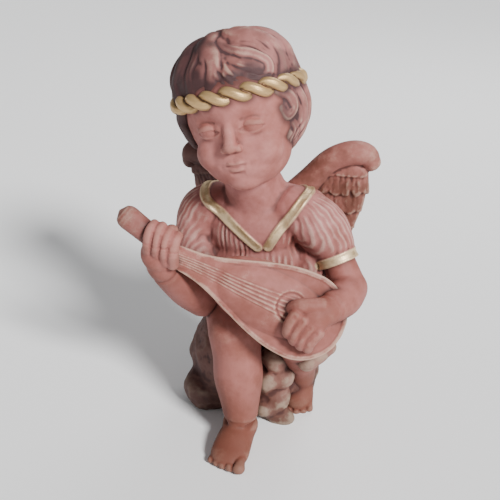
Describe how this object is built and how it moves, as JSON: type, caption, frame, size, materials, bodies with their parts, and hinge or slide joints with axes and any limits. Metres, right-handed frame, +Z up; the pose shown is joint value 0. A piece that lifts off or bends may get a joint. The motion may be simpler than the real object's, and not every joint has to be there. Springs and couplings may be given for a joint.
{
  "type": "terracotta angel statue",
  "caption": "Hollow cast terracotta cherub seated on a rock, playing a pear-shaped lute, with feathered wings, a rope headband and a flat underside that it stands on.",
  "frame": {"origin": "on the ground, under the middle of the statue's bounding box", "axes": "+Z up, the child faces -Y, and its left side, with the wide end of the lute, is towards +X"},
  "size_m": [0.1864, 0.1764, 0.345],
  "materials": {
    "terracotta": "matte painted fired clay: dusty pink-brown with dark wash in the hollows, pale green-gold dry-brushing on high edges, antique gold on the headband, neckline and sleeve band"
  },
  "bodies": {
    "root": {"angel_statue": "terracotta"}
  },
  "joints": []
}
